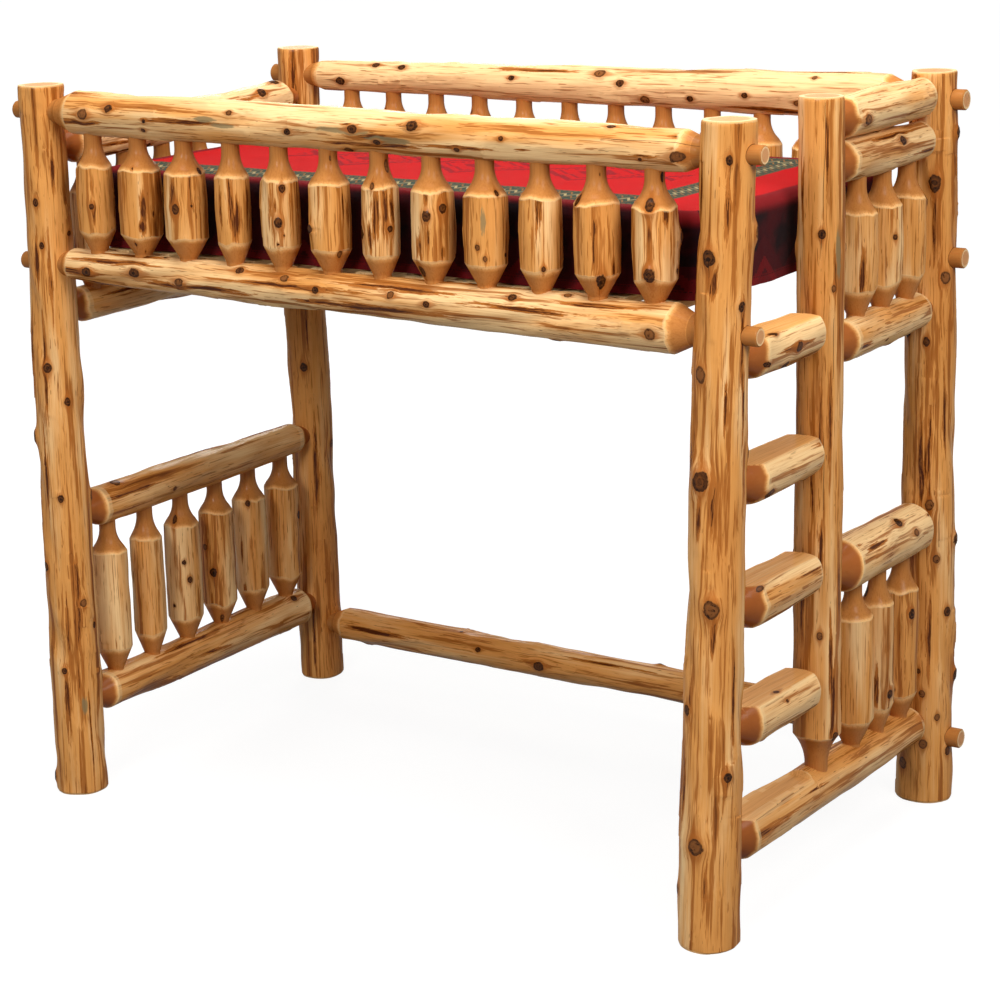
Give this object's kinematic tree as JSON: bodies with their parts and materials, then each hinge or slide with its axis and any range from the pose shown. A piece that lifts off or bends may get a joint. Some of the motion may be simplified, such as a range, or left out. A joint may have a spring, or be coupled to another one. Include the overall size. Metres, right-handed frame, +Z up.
{
  "type": "rustic log loft bed",
  "caption": "Loft bed of peeled cedar logs for a twin mattress, with turned-down log spindles, guard rails all round, a ladder built into one end and open floor space beneath.",
  "frame": {"origin": "on the floor in the middle of the four corner posts", "axes": "+X along the bed towards the ladder end, +Y from the open front towards the back, +Z up"},
  "size_m": [2.3177, 1.317, 2.005],
  "materials": {
    "peeled_cedar": "peeled white cedar with knots, satin clear varnish",
    "sawn_pine": "planed, unvarnished",
    "screw_steel": "zinc plated",
    "mattress_ticking": "quilted cotton ticking",
    "bedspread_cloth": "woven jacquard in red, dark green and tan"
  },
  "bodies": {
    "bed_frame": {"front_left_post": "peeled_cedar", "front_right_post": "peeled_cedar", "back_left_post": "peeled_cedar", "back_right_post": "peeled_cedar", "ladder_post": "peeled_cedar", "front_guard_rail": "peeled_cedar", "front_bed_rail": "peeled_cedar", "back_guard_rail": "peeled_cedar", "back_bed_rail": "peeled_cedar", "back_stretcher": "peeled_cedar", "left_guard_rail": "peeled_cedar", "left_bed_rail": "peeled_cedar", "left_low_rail": "peeled_cedar", "left_foot_rail": "peeled_cedar", "right_guard_rail": "peeled_cedar", "right_second_guard_rail": "peeled_cedar", "right_bed_rail": "peeled_cedar", "right_low_rail": "peeled_cedar", "step_rail": "peeled_cedar", "rung_1": "peeled_cedar", "rung_2": "peeled_cedar", "rung_3": "peeled_cedar", "rung_4": "peeled_cedar", "front_spindle_01": "peeled_cedar", "front_spindle_02": "peeled_cedar", "front_spindle_03": "peeled_cedar", "front_spindle_04": "peeled_cedar", "front_spindle_05": "peeled_cedar", "front_spindle_06": "peeled_cedar", "front_spindle_07": "peeled_cedar", "front_spindle_08": "peeled_cedar", "front_spindle_09": "peeled_cedar", "front_spindle_10": "peeled_cedar", "front_spindle_11": "peeled_cedar", "front_spindle_12": "peeled_cedar", "back_spindle_01": "peeled_cedar", "back_spindle_02": "peeled_cedar", "back_spindle_03": "peeled_cedar", "back_spindle_04": "peeled_cedar", "back_spindle_05": "peeled_cedar", "back_spindle_06": "peeled_cedar", "back_spindle_07": "peeled_cedar", "back_spindle_08": "peeled_cedar", "back_spindle_09": "peeled_cedar", "back_spindle_10": "peeled_cedar", "back_spindle_11": "peeled_cedar", "back_spindle_12": "peeled_cedar", "left_upper_spindles": "peeled_cedar", "left_lower_spindles": "peeled_cedar", "right_upper_spindles": "peeled_cedar", "right_lower_spindles": "peeled_cedar", "slats": "sawn_pine", "front_cleat": "sawn_pine", "back_cleat": "sawn_pine", "lag_screws": "screw_steel", "slat_screws": "screw_steel"},
    "bedding": {"mattress": "mattress_ticking", "bedspread": "bedspread_cloth"}
  },
  "joints": [
    {"name": "mattress_lift", "type": "slide", "parent": "bed_frame", "child": "bedding", "axis": [0, 0, 1], "range_m": [0, 0.46]}
  ]
}
